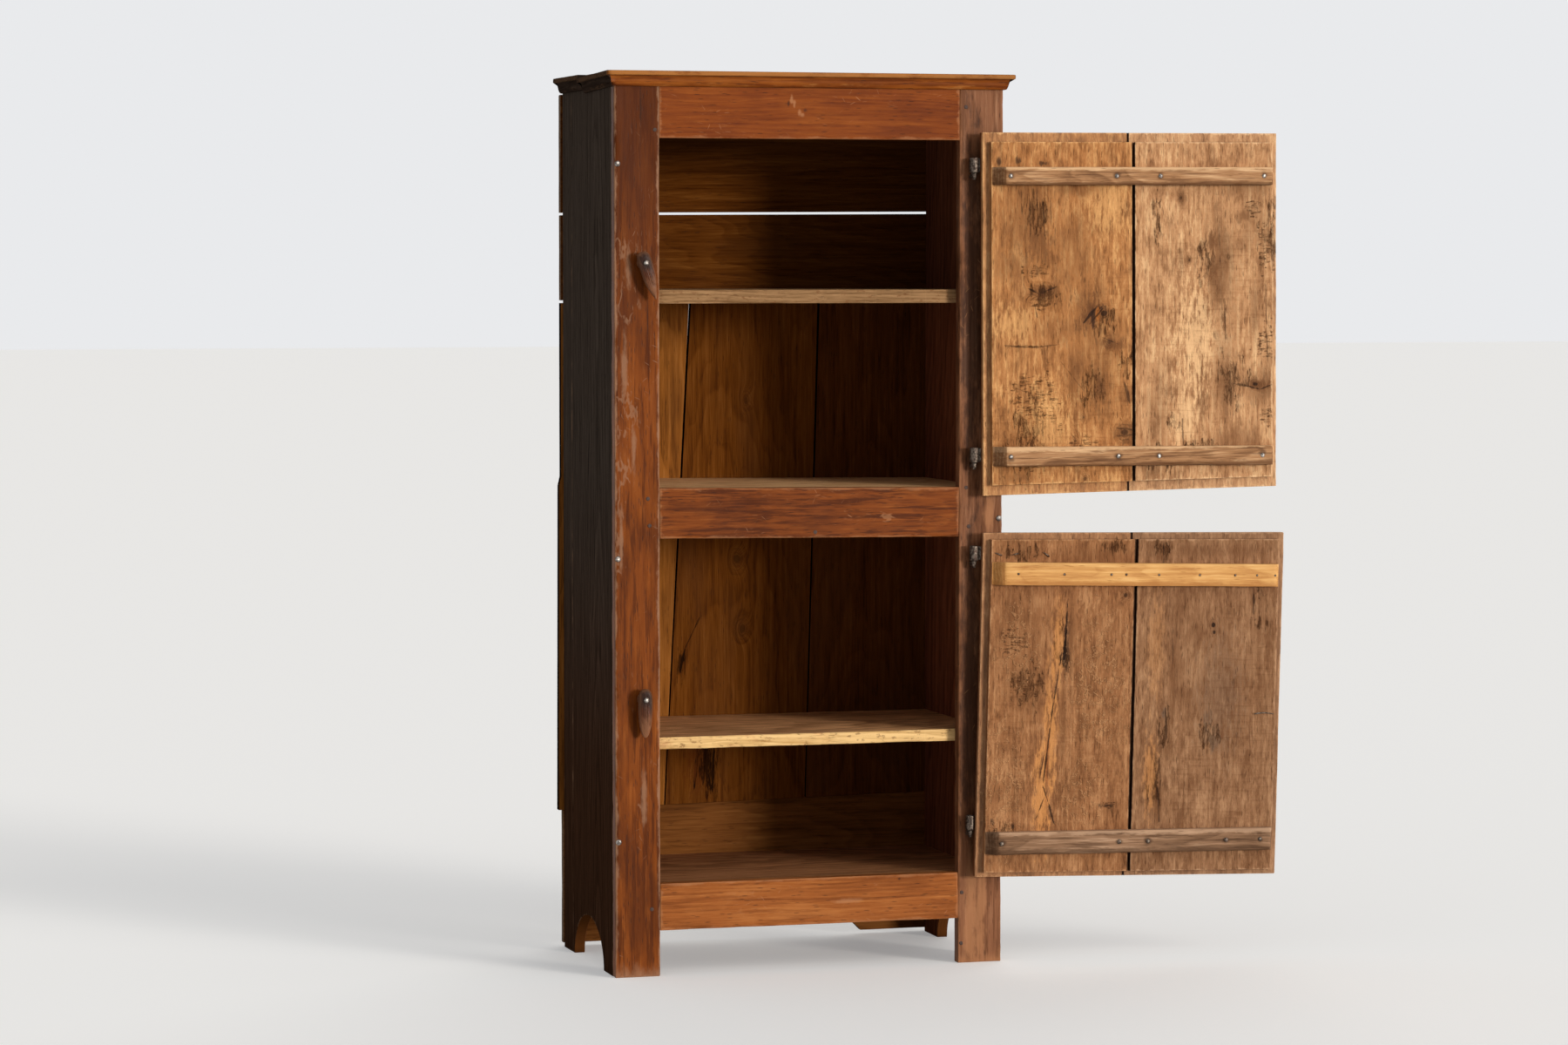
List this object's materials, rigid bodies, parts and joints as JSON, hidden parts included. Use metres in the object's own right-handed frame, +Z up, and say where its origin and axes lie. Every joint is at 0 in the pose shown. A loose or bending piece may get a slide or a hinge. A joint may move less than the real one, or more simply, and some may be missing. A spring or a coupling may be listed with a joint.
{
  "type": "two-door cupboard",
  "caption": "Tall narrow plank cupboard with shelves, a moulded cornice, arched side feet and lipped doors on strap hinges, closed by wooden turn buttons.",
  "frame": {"origin": "middle of the left front foot's underside, on the floor", "axes": "+Z up, -Y out of the front, +X to the right seen from the front; stored with both doors folded open"},
  "size_m": [1.3064, 0.4908, 1.65],
  "materials": {
    "frame_oak": "worn wax over reddish brown stain",
    "cornice_oak": "worn wax, orange brown",
    "side_oak": "dark dry grey brown",
    "back_oak": "unfinished, aged brown",
    "shelf_oak": "unfinished, scrubbed pale edges",
    "bottom_oak": "unfinished, worn",
    "top_oak": "unfinished, dusty",
    "upper_door_oak": "honey coloured old oak, dry",
    "lower_door_oak": "brown old oak, dry",
    "old_batten_oak": "grey brown old oak, dry",
    "new_batten_oak": "pale yellow newer oak",
    "peg_oak": "dark end grain",
    "button_wood": "hand worn reddish brown",
    "wrought_iron": "hand forged, dull grey with rust"
  },
  "bodies": {
    "root": {"back_bottom_board": "back_oak", "back_nails": "wrought_iron", "back_plank_left": "back_oak", "back_plank_middle": "back_oak", "back_plank_right": "back_oak", "back_second_board": "back_oak", "back_top_board": "back_oak", "bottom_board": "bottom_oak", "bottom_rail": "frame_oak", "cornice_front": "cornice_oak", "cornice_left_front": "cornice_oak", "cornice_left_rear": "cornice_oak", "cornice_right": "cornice_oak", "frame_nails": "wrought_iron", "frame_pegs": "peg_oak", "left_side_board": "side_oak", "left_side_strip": "side_oak", "left_stile": "frame_oak", "lower_button_nail": "wrought_iron", "lower_button_washer": "wrought_iron", "lower_door_bottom_pintle": "wrought_iron", "lower_door_top_pintle": "wrought_iron", "lower_shelf": "shelf_oak", "middle_rail": "frame_oak", "middle_shelf": "shelf_oak", "right_side_board": "side_oak", "right_side_strip": "side_oak", "right_stile": "frame_oak", "top_board": "top_oak", "top_rail": "frame_oak", "upper_button_nail": "wrought_iron", "upper_button_washer": "wrought_iron", "upper_door_bottom_pintle": "wrought_iron", "upper_door_top_pintle": "wrought_iron", "upper_shelf": "shelf_oak"},
    "upper_door": {"upper_door_batten_nails": "wrought_iron", "upper_door_bottom_batten": "old_batten_oak", "upper_door_bottom_strap": "wrought_iron", "upper_door_free_plank": "upper_door_oak", "upper_door_hinge_plank": "upper_door_oak", "upper_door_strap_nails": "wrought_iron", "upper_door_top_batten": "old_batten_oak", "upper_door_top_strap": "wrought_iron"},
    "lower_door": {"lower_door_batten_nails": "wrought_iron", "lower_door_bent_nails": "wrought_iron", "lower_door_bottom_batten": "old_batten_oak", "lower_door_bottom_strap": "wrought_iron", "lower_door_free_plank": "lower_door_oak", "lower_door_hinge_plank": "lower_door_oak", "lower_door_strap_nails": "wrought_iron", "lower_door_top_batten": "new_batten_oak", "lower_door_top_strap": "wrought_iron"},
    "upper_button": {"upper_button": "button_wood"},
    "lower_button": {"lower_button": "button_wood"}
  },
  "joints": [
    {"name": "upper_door_hinge", "type": "hinge", "parent": "root", "child": "upper_door", "pos_m": [0.6382, -0.026, 1.2155], "axis": [-0.0028, 0, 1], "range_deg": [-182.6, 6.4]},
    {"name": "lower_door_hinge", "type": "hinge", "parent": "root", "child": "lower_door", "pos_m": [0.6362, -0.026, 0.515], "axis": [0.0115, 0, 0.9999], "range_deg": [-178.8, 10.2]},
    {"name": "upper_button_turn", "type": "hinge", "parent": "root", "child": "upper_button", "pos_m": [0.011, -0.03, 1.303], "axis": [0, -1, 0], "range_deg": [-18, 72]},
    {"name": "lower_button_turn", "type": "hinge", "parent": "root", "child": "lower_button", "pos_m": [0.01, -0.03, 0.51], "axis": [0, -1, 0], "range_deg": [-90, 90]}
  ]
}
